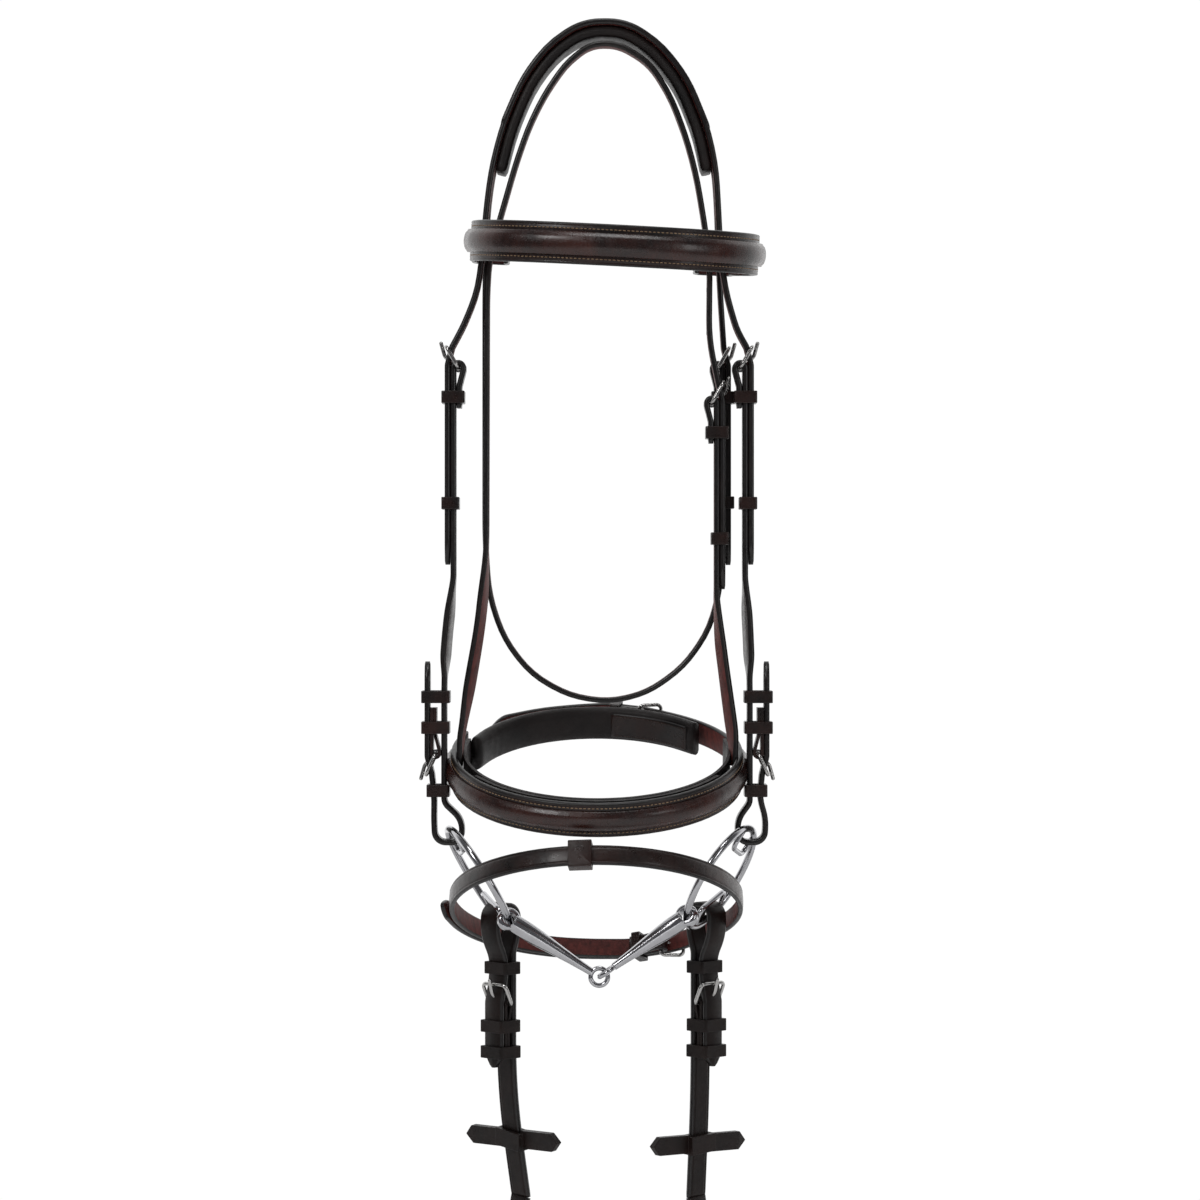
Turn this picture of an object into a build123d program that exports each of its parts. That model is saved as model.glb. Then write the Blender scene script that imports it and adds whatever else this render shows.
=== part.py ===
from build123d import *

import os
from math import asin, atan2, cos, degrees, radians, sin, sqrt, tan

# Snaffle bridle with flash noseband and buckled reins, hanging by its poll.
# Millimetres. +X is the horse's left side when it faces the viewer, -Y is the
# face of the bridle, +Z is up. The origin is the underside of the sliphead at
# the poll, where the bridle rests on its hook.

# ---- leather ---------------------------------------------------------------
STRAP_T = 3.6              # thickness of the main straps
CHAPE_T = 2.0              # thickness of the short buckle chapes
LAYER_GAP = 0.2            # air between two layers of leather
CHEEK_W = 16.0             # cheekpieces and cheek billets
HANGER_W = 13.0            # sliphead and noseband hangers
THROAT_W = 13.0            # throatlash
FLASH_W = 13.0             # flash strap
REIN_W = 16.0              # reins
REIN_T = 3.8
CROWN_W = 38.0             # headpiece over the poll
CROWN_PAD_W = 34.0
CROWN_PAD_T = 7.0
NOSE_W = 23.0              # height of the noseband
NOSE_STRAP_W = 16.0        # rear strap of the noseband
BROW_W = 26.0              # height of the browband
BROW_T = 3.2

# ---- steel -----------------------------------------------------------------
BAR_R = 1.25               # buckle wire
BAR_GAP = 0.2              # strap to buckle wire
FAR_GAP = 0.45             # billet to the far bar over it
LAYER_BEND = 8.0           # radius of a billet's small bends at its buckle
BUCKLE_REACH = 13.5        # hinge bar to far bar, along the strap
RAIL_GAP = 1.5             # strap edge to buckle side rail
TONGUE_R = 1.3
TONGUE_BORE_GAP = 0.1
TONGUE_HUB_R = 2.7
TONGUE_HUB_L = 3.0
TONGUE_OPEN = 12.0         # degrees that a done-up tongue can lift
TONGUE_SIDE_GAP = 0.35
BILLET_DIP = 2.9           # how far the billet drops to pass under the far bar
BILLET_BEND = 1.8          # where that drop starts, before the hinge bar
RING_R = 37.2              # bit ring, centreline
RING_WIRE_R = 2.4
GUARD_R = 1.7              # wire of the small loops inside each bit ring
GUARD_DEPTH = 17.0
CHEEK_GUARD_HALF = 13.0        # half the guard's width, round the cheekpiece
REIN_GUARD_HALF = 15.5         # and round the rein, which crosses aslant
MOUTH_BORE_GAP = 2.1       # ring wire to the bore of the mouthpiece
BUTT_R = 7.6
BUTT_T = 7.0
EYE_R = 5.6                # centre joint eyes, centreline
EYE_WIRE_R = 1.6

# ---- keepers ---------------------------------------------------------------
KEEPER_WALL = 1.8
KEEPER_L = 8.0
RUNNER_GAP = 0.3

# ---- places across the bridle ----------------------------------------------
CHEEK_Y = -10.0            # cheekpieces, sliphead and hangers
THROAT_Y = 13.5            # throatlash
CROWN_Y = 1.0

LEFT = -1
RIGHT = 1

FRONT = Plane(origin=(0, 0, 0), x_dir=(1, 0, 0), z_dir=(0, -1, 0))


def front_plane(y):
    """An upright plane facing the viewer: local x is X, local y is Z."""
    return FRONT.offset(-y)


# ---- general shapes --------------------------------------------------------
def corner_radii(spots, chosen):
    """One radius for each corner of a route, as large as its runs allow."""
    radii = []
    for before, corner, after, given in zip(spots, spots[1:], spots[2:], chosen[1:-1]):
        first = corner - before
        second = after - corner
        half_turn = radians(first.get_angle(second)) / 2
        room = 0.45 * min(first.length, second.length) / tan(half_turn)
        radii.append(given if given else room)
    return radii


def without_straight(spots, chosen):
    """Leave out the points that lie in line with their neighbours."""
    kept = [0]
    for index in range(1, len(spots) - 1):
        turn = (spots[index] - spots[kept[-1]]).get_angle(spots[index + 1] - spots[index])
        if turn > 0.2:
            kept.append(index)
    kept.append(len(spots) - 1)
    return [spots[i] for i in kept], [chosen[i] for i in kept]


def route(plane, points):
    """A path of straight runs and tangent arcs; a point may carry a radius."""
    spots = [plane.from_local_coords(Vector(p[0], p[1], 0)) for p in points]
    chosen = [p[2] if len(p) > 2 else 0 for p in points]
    spots, chosen = without_straight(spots, chosen)
    if len(spots) == 2:
        return Edge.make_line(spots[0], spots[1])
    return FilletPolyline(*spots, radius=corner_radii(spots, chosen))


def strap(plane, points, width, thickness=STRAP_T):
    """A flat strap that bends in a plane and is as wide as the plane is deep."""
    path = route(plane, points)
    start = Plane(origin=path @ 0, x_dir=plane.z_dir, z_dir=path % 0)
    return sweep(start * Rectangle(width, thickness), path=path)


def tip(plane, end, heading, width, thickness=STRAP_T, length=15.0):
    """The pointed end of a strap, laid on from the strap's square end."""
    ahead = plane.x_dir * heading[0] + plane.y_dir * heading[1]
    flat = Plane(
        origin=plane.from_local_coords(Vector(end[0], end[1], 0)),
        x_dir=ahead,
        z_dir=ahead.cross(plane.z_dir),
    )
    half = width / 2
    outline = Polyline(
        (0, -half), (0.35 * length, -half), (0.8 * length, -0.55 * half), (length, -0.16 * half),
        (length, 0.16 * half), (0.8 * length, 0.55 * half), (0.35 * length, half), (0, half),
        close=True,
    )
    return extrude(flat * make_face(outline), amount=thickness / 2, both=True)


def holes(plane, start, heading, count, pitch, radius=2.0, depth=12.0):
    """A row of punched holes along a straight stretch of strap."""
    ahead = plane.x_dir * heading[0] + plane.y_dir * heading[1]
    through = ahead.cross(plane.z_dir)
    origin = plane.from_local_coords(Vector(start[0], start[1], 0))
    row = []
    for number in range(count):
        spot = origin + ahead * (pitch * number)
        row.append(Plane(origin=spot, z_dir=through) * Cylinder(radius, depth))
    return row


def parallel(points, distance):
    """The same route moved sideways, to the left of its direction."""
    moved = []
    last = len(points) - 1
    for index, spot in enumerate(points):
        before = points[max(index - 1, 0)]
        after = points[min(index + 1, last)]
        into = Vector(spot[0] - before[0], spot[1] - before[1]) if index else None
        out = Vector(after[0] - spot[0], after[1] - spot[1]) if index < last else None
        into = (into or out).normalized()
        out = (out or into).normalized()
        normal = Vector(-into.Y - out.Y, into.X + out.X).normalized()
        stretch = distance / (normal.X * -into.Y + normal.Y * into.X)
        moved.append((spot[0] + normal.X * stretch, spot[1] + normal.Y * stretch))
    return moved


# ---- buckles ---------------------------------------------------------------
class Buckle:
    """A single-tongue buckle in a strap's plane.

    s runs from the hinge bar along the strap that carries the buckle, and n
    points to the face. The billet comes from the other side, dips under the
    far bar and lies on the face of the strap.
    """

    def __init__(self, plane, origin, along, face, width, thickness=STRAP_T):
        self.plane = plane
        self.origin = origin
        self.along = along
        self.face = face
        self.width = width
        self.thickness = thickness
        self.fold = BAR_R + BAR_GAP + thickness / 2
        self.under = -(thickness + LAYER_GAP)
        self.billet = thickness / 2 + LAYER_GAP + STRAP_T / 2
        slope = atan2(BILLET_DIP, BUCKLE_REACH - BILLET_BEND)
        self.far = self.billet - BILLET_DIP + STRAP_T / 2 / cos(slope) + FAR_GAP + BAR_R

    def at(self, s, n, *radius):
        """The plane's own coordinates of a point of the buckle."""
        x = self.origin[0] + s * self.along[0] + n * self.face[0]
        y = self.origin[1] + s * self.along[1] + n * self.face[1]
        return (x, y, *radius)

    def spot(self, s, n):
        return self.plane.from_local_coords(Vector(*self.at(s, n), 0))

    def direction(self, s, n):
        return (self.spot(s, n) - self.spot(0, 0)).normalized()

    def fold_points(self, tail):
        """The turned-back layer, the fold round the hinge bar, and out."""
        deep = -2 * self.fold
        bend = 0.97 * self.fold
        return [
            self.at(tail, self.under),
            self.at(12.0, self.under, 6.0),
            self.at(1.5, deep, 4.0),
            self.at(-self.fold, deep, bend),
            self.at(-self.fold, 0, bend),
        ]

    def billet_points(self):
        """The billet's way under the far bar and up onto the strap."""
        return [
            self.at(-BUCKLE_REACH, self.billet - BILLET_DIP, LAYER_BEND),
            self.at(-BILLET_BEND, self.billet, LAYER_BEND),
        ]

    def tongue_line(self, lift=0.0):
        """Hub, knee and tip of the tongue, lifted by some degrees."""
        line = [(0, -self.fold), (-7.6, self.billet + 2.0), (-16.2, self.billet + 4.4)]
        turned = []
        for s, n in line:
            ds, dn = s, n + self.fold
            c, k = cos(radians(lift)), sin(radians(lift))
            turned.append((ds * c + dn * k, -ds * k + dn * c - self.fold))
        return turned

    def frame(self):
        hinge = self.spot(0, -self.fold)
        far = self.spot(-BUCKLE_REACH, self.far)
        across = self.plane.z_dir * (self.width / 2 + RAIL_GAP + BAR_R)
        corners = [hinge - across, far - across, far + across, hinge + across]
        path = FilletPolyline(*corners, radius=3.2, close=True)
        section = Plane(origin=path @ 0, z_dir=path % 0) * Circle(BAR_R)
        return sweep(section, path=path)

    def tongue(self):
        hub_plane = Plane(origin=self.spot(0, -self.fold), z_dir=self.plane.z_dir)
        hub = hub_plane * Cylinder(TONGUE_HUB_R, TONGUE_HUB_L)
        bore = hub_plane * Cylinder(BAR_R + TONGUE_BORE_GAP, 2 * TONGUE_HUB_L)
        spots = [self.spot(*p) for p in self.tongue_line()]
        path = FilletPolyline(*spots, radius=5.0)
        pin = sweep(Plane(origin=path @ 0, z_dir=path % 0) * Circle(TONGUE_R), path=path)
        end = Plane(origin=spots[-1]) * Sphere(TONGUE_R)
        return hub + pin + end - bore

    def tongue_way(self):
        """The slot that the tongue needs, from done up to lifted."""
        room = TONGUE_R + 0.5
        low = self.tongue_line()
        high = self.tongue_line(TONGUE_OPEN + 2.0)
        outline = [
            self.at(low[0][0] + 0.3, low[0][1] - room),
            self.at(low[1][0] - 0.8 * room, low[1][1] - 0.8 * room),
            self.at(low[2][0], low[2][1] - room),
            self.at(high[2][0], high[2][1] + room),
            self.at(high[1][0] + 0.8 * room, high[1][1] + 0.8 * room),
            self.at(high[0][0] + room, high[0][1] + 0.6 * room),
        ]
        spots = [self.plane.from_local_coords(Vector(x, y, 0)) for x, y in outline]
        half = TONGUE_HUB_L / 2 + TONGUE_SIDE_GAP
        slot = extrude(make_face(Polyline(*spots, close=True)), amount=half, dir=self.plane.z_dir, both=True)
        hub_plane = Plane(origin=self.spot(0, -self.fold), z_dir=self.plane.z_dir)
        return slot + hub_plane * Cylinder(TONGUE_HUB_R + 0.4, 2 * half)

    def chape(self, length=24.0):
        """A short strap folded round the hinge bar, slotted for the tongue."""
        points = self.fold_points(length) + [self.at(length, 0)]
        return strap(self.plane, points, self.width, self.thickness) - self.tongue_way()

    def loop(self, s, low, high, gap=0.0, length=KEEPER_L, width=None):
        """A leather keeper round the layers between two heights."""
        inside_w = (width or self.width) + 2 * RUNNER_GAP
        inside_h = high - low + 2 * gap if gap else high - low + RUNNER_GAP
        middle = (high + low) / 2 if gap else (high + low + RUNNER_GAP) / 2
        place = Plane(
            origin=self.spot(s, middle),
            x_dir=self.direction(1, 0),
            z_dir=self.direction(0, 1),
        )
        outer = Box(length, inside_w + 2 * KEEPER_WALL, inside_h + 2 * KEEPER_WALL)
        outer = fillet(outer.edges().filter_by(Axis.X), KEEPER_WALL * 0.8)
        return place * (outer - Box(2 * length, inside_w, inside_h))

    def axis_spot(self):
        return self.spot(0, -self.fold)


def save(name, shape):
    """Write one node as its own STEP file."""
    solids = shape.solids() if hasattr(shape, "solids") else [s for part in shape for s in part.solids()]
    body = solids[0] if len(solids) == 1 else Compound(children=list(solids))
    export_step(body, f"parts/{name}.step")
    print(f"{name:28s} {len(solids):3d} solids {sum(s.volume for s in solids):12.1f} mm3")


# ---- where the buckles sit -------------------------------------------------
CHEEK = front_plane(CHEEK_Y)
THROAT = front_plane(THROAT_Y)
CROWN = front_plane(CROWN_Y)
UP = (0.0, 1.0)
DOWN = (0.0, -1.0)


def outward(side):
    return (float(side), 0.0)


CHEEK_X = {LEFT: -98.4, RIGHT: 91.5}          # cheekpiece below its top buckle
CHEEK_BUCKLE_Z = -209.0
BIT_STRAP_X = {LEFT: -104.4, RIGHT: 94.5}     # cheekpiece above the bit
BIT_BUCKLE_Z = -460.0
HANGER_X = 73.0
HANGER_BUCKLE_Z = -232.0
THROAT_X = 77.5
THROAT_BUCKLE_Z = -208.0
CHAPE_OFF = 2 * (BAR_R + BAR_GAP + CHAPE_T / 2) + CHAPE_T / 2 + LAYER_GAP + STRAP_T / 2

cheek_buckle = {
    side: Buckle(CHEEK, (CHEEK_X[side], CHEEK_BUCKLE_Z), DOWN, outward(side), CHEEK_W)
    for side in (LEFT, RIGHT)
}
bit_buckle = {
    side: Buckle(
        CHEEK, (BIT_STRAP_X[side] + side * CHAPE_OFF, BIT_BUCKLE_Z), UP, outward(side), CHEEK_W, CHAPE_T
    )
    for side in (LEFT, RIGHT)
}
hanger_buckle = Buckle(CHEEK, (HANGER_X, HANGER_BUCKLE_Z), DOWN, outward(RIGHT), HANGER_W)
throat_buckle = Buckle(THROAT, (THROAT_X, THROAT_BUCKLE_Z), DOWN, outward(RIGHT), THROAT_W)

# ---- headpiece -------------------------------------------------------------
ARCH = [
    (-76.9, -104), (-73.5, -79), (-66, -50), (-53, -20), (-36, 2), (-14, 16.2),
    (14, 16.2), (36, 2), (54, -21), (67, -53), (72.5, -79), (74, -104),
]
CHEEK_TAIL_Z = -322.0
THROAT_TAIL_Z = -322.0


def headpiece():
    left = cheek_buckle[LEFT]
    right = cheek_buckle[RIGHT]
    reach = CHEEK_BUCKLE_Z - CHEEK_TAIL_Z
    tails = {side: cheek_buckle[side].at(reach, cheek_buckle[side].billet) for side in (LEFT, RIGHT)}
    cheek_points = (
        [tails[LEFT]] + left.billet_points()[::-1] + [(-92, -182), (-83, -160), (-79.5, -135)]
        + ARCH + [(75.5, -135), (79, -160), (86, -184)] + right.billet_points() + [tails[RIGHT]]
    )
    cheeks = strap(CHEEK, cheek_points, CHEEK_W)
    for side in (LEFT, RIGHT):
        cheeks -= cheek_buckle[side].tongue_way()
        cheeks += tip(CHEEK, tails[side], DOWN, CHEEK_W)
        for hole in holes(CHEEK, (tails[side][0], tails[side][1] + 2), UP, 3, 22.0):
            cheeks -= hole
    throat_tail = throat_buckle.at(-THROAT_TAIL_Z + THROAT_BUCKLE_Z, throat_buckle.billet)
    short = strap(THROAT, ARCH[2:] + [(75.5, -150)] + throat_buckle.billet_points() + [throat_tail], THROAT_W)
    short -= throat_buckle.tongue_way()
    short += tip(THROAT, throat_tail, DOWN, THROAT_W)
    long_points = (
        throat_buckle.fold_points(24.0)
        + [(77.5, -330), (75, -358), (68, -381), (52, -404), (28, -421), (3, -427), (-23, -423),
           (-48, -409), (-66, -386), (-76, -357), (-78.5, -322), (-78.5, -150)]
        + ARCH[:-2]
    )
    long = strap(THROAT, long_points, THROAT_W) - throat_buckle.tongue_way()
    crown = strap(CROWN, ARCH[2:-2], CROWN_W)
    return cheeks + short + long + crown


def crown_pad():
    inner = parallel(ARCH[1:-1], -(STRAP_T / 2 + 3 * LAYER_GAP + CROWN_PAD_T / 2))
    return strap(CROWN, inner, CROWN_PAD_W, CROWN_PAD_T)


# ---- sliphead and noseband hangers -----------------------------------------
NOSE_X = -5.0
NOSE_Y = -3.0
NOSE_Z = -469.0
NOSE_TILT = 20.0
NOSE_A = 96.0
NOSE_B = 90.0
NOSE_LEATHER_T = 4.0
NOSE_CORE_T = 4.2              # room between leather and lining
NOSE_CORE_GAP = 0.9
NOSE_LINING_T = 2.0
NOSE_HANGER_X = {LEFT: -94.0, RIGHT: 84.0}
HANGER_END_Z = -468.0          # in its pocket between leather and lining

HANGER_TAIL_Z = -338.0
SLIP_ARCH = [
    (-76.5, -160), (-74.8, -135), (-67.8, -111), (-57.5, -75), (-49, -51), (-38.5, -30), (-24.5, -10),
    (-9, 1.8),
    (9, 1.8), (29, -10), (43, -32), (53.5, -60), (60, -85), (65, -115), (68.5, -140),
]


def sliphead():
    tail = hanger_buckle.at(-HANGER_TAIL_Z + HANGER_BUCKLE_Z, hanger_buckle.billet)
    points = (
        [(NOSE_HANGER_X[LEFT], HANGER_END_Z), (-94.0, -452), (-88.5, -419), (-80.5, -373), (-77, -330)]
        + SLIP_ARCH + [(68, -190)] + hanger_buckle.billet_points() + [tail]
    )
    body = strap(CHEEK, points, HANGER_W) - hanger_buckle.tongue_way() + tip(CHEEK, tail, DOWN, HANGER_W)
    for hole in holes(CHEEK, (68.2, -186), UP, 3, 14.0, 1.6, 8.0):
        body -= hole
    return body


def hanger_lower():
    points = hanger_buckle.fold_points(26.0) + [
        (HANGER_X, -358, 60), (75, -385), (79.5, -419), (84.0, -452), (NOSE_HANGER_X[RIGHT], HANGER_END_Z),
    ]
    return strap(CHEEK, points, HANGER_W) - hanger_buckle.tongue_way()


# ---- cheekpieces -----------------------------------------------------------
RING_PIVOT_Y = CHEEK_Y
RING_PIVOT_Z = -509.5
RING_PIVOT_X = {LEFT: -101.7, RIGHT: 95.5}
LOOP_SLACK = 3.6               # below the ring wire, which tips as it swings
LOOP_DROP = RING_WIRE_R + LOOP_SLACK + STRAP_T / 2    # ring wire to the strap's centreline below it
BIT_TAIL_Z = -412.0
LOOP_NARROW = 1.6               # the loop's billet side, closing in below the buckle


def cheekpiece(side):
    top = cheek_buckle[side]
    bit = bit_buckle[side]
    x = RING_PIVOT_X[side]
    low = RING_PIVOT_Z - LOOP_DROP
    tail = bit.at(BIT_TAIL_Z - BIT_BUCKLE_Z, bit.billet)
    main = BIT_STRAP_X[side]
    points = top.fold_points(26.0) + [
        (CHEEK_X[side], -345, 60), (main, -400), (main, -492, LAYER_BEND), (x - side * 9.0, -503),
        (x - side * 8.6, low), (x + side * 8.6, low), (x + side * 9.4, -502),
        bit.at(-29.0, bit.billet - BILLET_DIP - LOOP_NARROW),
    ] + bit.billet_points() + [tail]
    body = strap(CHEEK, points, CHEEK_W) - top.tongue_way() - bit.tongue_way()
    return body + tip(CHEEK, tail, UP, CHEEK_W, length=12.0)


# ---- bit -------------------------------------------------------------------
RING_LEAN = 31.5
RING_OPEN = {LEFT: 11.0, RIGHT: 20.0}
CHEEK_AT = 4.0                 # where the parts sit round the ring, from its top
MOUTH_AT = 210.0
REIN_AT = {LEFT: 150.0, RIGHT: 142.0}


class Ring:
    """One bit ring with its two guard loops."""

    def __init__(self, side):
        lean = radians(RING_LEAN)
        turn = radians(RING_OPEN[side])
        self.top = Vector(side * sin(lean), 0, cos(lean))
        side_way = Vector(side * cos(lean), 0, -sin(lean))
        self.back = side_way * sin(turn) + Vector(0, cos(turn), 0)
        pivot = Vector(RING_PIVOT_X[side], RING_PIVOT_Y, RING_PIVOT_Z)
        self.centre = pivot - self.offset(CHEEK_AT)
        drop = sin(radians(MOUTH_AT)) * cos(radians(RING_OPEN[LEFT])) / cos(turn)
        self.mouth_at = 180.0 - degrees(asin(drop))
        self.mouth = self.centre + self.offset(self.mouth_at)
        self.rein_at = REIN_AT[side]
        self.rein = self.centre + self.offset(self.rein_at)

    def offset(self, angle, radius=RING_R):
        return (self.top * cos(radians(angle)) + self.back * sin(radians(angle))) * radius

    def tangent(self, angle):
        return self.back * cos(radians(angle)) - self.top * sin(radians(angle))

    def guard(self, angle, half):
        outer = sqrt(RING_R**2 - half**2)
        inner = RING_R - GUARD_DEPTH
        spots = []
        for across, radius in ((-half, outer), (-half, inner), (half, inner), (half, outer)):
            spots.append(self.centre + self.offset(angle, radius) + self.tangent(angle) * across)
        path = FilletPolyline(*spots, radius=5.0)
        return sweep(Plane(origin=path @ 0, z_dir=path % 0) * Circle(GUARD_R), path=path)

    def solid(self):
        hub = Plane(origin=self.centre, x_dir=self.offset(-90.0), z_dir=self.top.cross(self.back))
        ring = None
        places = ((0, CHEEK_AT, CHEEK_GUARD_HALF), (180, self.rein_at, REIN_GUARD_HALF))
        for start, guard_at, guard_half in places:
            arc = Edge.make_circle(RING_R, hub, start, start + 180)
            half = sweep(Plane(origin=arc @ 0, z_dir=arc % 0) * Circle(RING_WIRE_R), path=arc)
            half += self.guard(guard_at, guard_half)
            ring = half if ring is None else ring + half
        return ring


rings = {LEFT: Ring(LEFT), RIGHT: Ring(RIGHT)}
EYE_CENTRE = Vector(-3.5, rings[LEFT].mouth.Y, -603.5)


def mouth_arm(side):
    """One arm of the mouthpiece: a bored butt, a taper and an eye."""
    ring = rings[side]
    butt = ring.mouth
    toward = (EYE_CENTRE - butt).normalized()
    eye = EYE_CENTRE if side == LEFT else EYE_CENTRE - toward * (EYE_R + 0.2)
    reach = (eye - butt).length
    bore_axis = ring.tangent(ring.mouth_at)
    bore_axis = (bore_axis - toward * bore_axis.dot(toward)).normalized()
    butt_plane = Plane(origin=butt, z_dir=bore_axis)
    disc = fillet(Cylinder(BUTT_R, BUTT_T).edges(), 2.4)
    sections = []
    for part, radius in ((0.05, 5.6), (0.25, 5.9), (0.55, 4.4), (0.86, 2.9), (1.0, 2.5)):
        spot = butt + toward * (part * (reach - EYE_R))
        sections.append(Plane(origin=spot, z_dir=toward) * Circle(radius))
    taper = loft(sections)
    eye_axis = Vector(0, 1, 0) if side == LEFT else toward.cross(Vector(0, 1, 0))
    ring_eye = Plane(origin=eye, z_dir=eye_axis) * Torus(EYE_R, EYE_WIRE_R)
    bore = butt_plane * Cylinder(RING_WIRE_R + MOUTH_BORE_GAP, 4 * BUTT_T)
    return (butt_plane * disc + taper + ring_eye) - bore


# ---- reins -----------------------------------------------------------------
REIN_TURN = 45.0
REIN_CHAPE_P = 2.6             # the rein's chape, in front of the ring wire
REIN_BUCKLE_DROP = 55.0        # rein wire hole to the hinge bar
REIN_TAIL_DROP = 96.0
REIN_LOOP_HALF = 9.4
REIN_LOOP_RISE = 10.0
REIN_END_Z = -752.0
REIN_DRIFT = {LEFT: 13.0, RIGHT: 4.0}
STOP_Z = {LEFT: -714.0, RIGHT: -717.6}
STOP_L = 88.0
STOP_W = 12.0
STOP_T = 3.0
STOP_SLOPE = {LEFT: 9.0, RIGHT: -5.0}


def rein_plane(side):
    turn = radians(REIN_TURN)
    ring = rings[side]
    out = Vector(side * cos(turn), -sin(turn), 0)
    return Plane(origin=(ring.rein.X, ring.rein.Y, 0), x_dir=out, z_dir=out.cross(Vector(0, 0, 1)))


def rein_buckle(side):
    hinge = (REIN_CHAPE_P, rings[side].rein.Z - REIN_BUCKLE_DROP)
    return Buckle(rein_plane(side), hinge, DOWN, (1.0, 0.0), REIN_W, CHAPE_T)


REIN_MAIN_P = REIN_CHAPE_P - CHAPE_OFF


def rein_end_point(side):
    """Local coordinates of the foot of the sewn rein end."""
    return (REIN_MAIN_P - REIN_DRIFT[side], REIN_END_Z)


def rein_end(side):
    buckle = rein_buckle(side)
    z = rings[side].rein.Z
    p = REIN_MAIN_P
    tail = buckle.at(REIN_TAIL_DROP - REIN_BUCKLE_DROP - 12.0, buckle.billet)
    points = [
        rein_end_point(side), (p, -682), (p, z - 21, LAYER_BEND), (-REIN_LOOP_HALF, z - 9),
        (-REIN_LOOP_HALF, z + REIN_LOOP_RISE), (REIN_LOOP_HALF, z + REIN_LOOP_RISE),
        (REIN_LOOP_HALF, z - 10), buckle.at(-29.0, buckle.billet - BILLET_DIP - LOOP_NARROW),
    ] + buckle.billet_points() + [tail]
    body = strap(buckle.plane, points, REIN_W) - buckle.tongue_way()
    return body + tip(buckle.plane, tail, DOWN, REIN_W, length=12.0)


def rein_stop(side):
    """A stop threaded on the rein: two layers with a slot between them."""
    plane = rein_plane(side)
    foot = rein_end_point(side)
    share = (STOP_Z[side] + 682) / (foot[1] + 682)
    centre = plane.from_local_coords(Vector(REIN_MAIN_P + share * (foot[0] - REIN_MAIN_P), STOP_Z[side], 0))
    lean = degrees(atan2(-REIN_DRIFT[side], -(foot[1] + 682)))
    place = Plane(origin=centre, x_dir=plane.z_dir, z_dir=plane.x_dir).rotated((-lean, 0, 0))
    half = STOP_L / 2
    outline = Polyline(
        (-half, 0), (-half + 6, -STOP_W / 2), (half - 6, -STOP_W / 2), (half, 0),
        (half - 6, STOP_W / 2), (-half + 6, STOP_W / 2), close=True,
    )
    wings = extrude(make_face(outline), amount=STOP_T / 2 + 0.6, both=True)
    slot_t = STRAP_T + 2 * RUNNER_GAP + 1.2
    bridge = Box(REIN_W + 2 * RUNNER_GAP + 6, STOP_W, slot_t + 2 * STOP_T)
    wings = wings.rotate(Axis.Z, STOP_SLOPE[side])
    slot = Box(REIN_W + 2 * RUNNER_GAP + 1.2, 4 * STOP_W, slot_t)
    return place * ((wings + bridge) - slot)


COIL_X = 1.0
COIL_Y = 8.5                   # between the two reins' coils
COIL_Z = -980.0
COIL_R = 79.0
COIL_HALF_T = 10.0
COIL_SHIFT = 8.5               # each rein's coil, either side of the middle
CENTRE_DROP = 50.0             # coil's middle to the buckle that joins the reins
TIE_T = 2.0
TIE_L = 14.0

REIN_ROUTE = {
    LEFT: [(-63, -799), (-72, -846), (-80, -897), (-85, -946)],
    RIGHT: [(66, -799), (74, -846), (82, -897), (87, -946)],
}


def rein_hand(side):
    """The hand part of a rein, from its sewn end to the put-away coil."""
    plane = rein_plane(side)
    foot = plane.from_local_coords(Vector(*rein_end_point(side), 0))
    spots = [Vector(foot.X, foot.Y, REIN_END_Z - 1.2)]
    for number, spot in enumerate(REIN_ROUTE[side]):
        share = (number + 1) / len(REIN_ROUTE[side])
        level = COIL_Y - side * COIL_SHIFT
        spots.append(Vector(spot[0], foot.Y + share * (level - foot.Y), spot[1]))
    radii = corner_radii(spots, [0] * len(spots))
    path = FilletPolyline(*spots, radius=radii)
    print(f"rein hand {side:+d}: {path.length:.1f} mm, radii {[round(r) for r in radii]}")
    start = Plane(origin=path @ 0, x_dir=(0, 1, 0), z_dir=path % 0)
    return sweep(start * Rectangle(REIN_W, REIN_T), path=path)


def rein_coil():
    place = front_plane(COIL_Y) * Location((COIL_X, COIL_Z, 0))
    width = REIN_W + 2 * COIL_SHIFT
    outer = Cylinder(COIL_R + COIL_HALF_T, width)
    inner = Cylinder(COIL_R - COIL_HALF_T, 2 * width)
    return place * (outer - inner)


def coil_ties():
    """Two bands that hold the wound reins together."""
    width = REIN_W + 2 * COIL_SHIFT
    inside = Box(2 * COIL_HALF_T + 0.6, 2 * TIE_L, width + 0.6)
    outside = Box(2 * COIL_HALF_T + 0.6 + 2 * TIE_T, TIE_L, width + 0.6 + 2 * TIE_T)
    ties = []
    for angle in (35.0, 145.0):
        turn = Rotation(0, 0, angle)
        place = front_plane(COIL_Y) * Location((COIL_X, COIL_Z, 0)) * turn * Location((COIL_R, 0, 0))
        ties.append(place * (outside - inside) - rein_coil())
    return ties


def centre_buckle():
    """The buckle that joins the two reins, inside the coil."""
    return Buckle(
        front_plane(COIL_Y), (COIL_X, COIL_Z - CENTRE_DROP), (-1.0, 0.0), UP, REIN_W
    )


def centre_ends():
    buckle = centre_buckle()
    tail = buckle.at(22.0, buckle.billet)
    carrier = strap(buckle.plane, buckle.fold_points(20.0) + [buckle.at(30.0, 0)], REIN_W)
    billet = strap(
        buckle.plane, [buckle.at(-34.0, 0.0), buckle.at(-24.0, 0.0)] + buckle.billet_points() + [tail], REIN_W
    )
    billet += tip(buckle.plane, tail, (-1.0, 0.0), REIN_W, length=10.0)
    return [carrier - buckle.tongue_way(), billet - buckle.tongue_way()]


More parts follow.
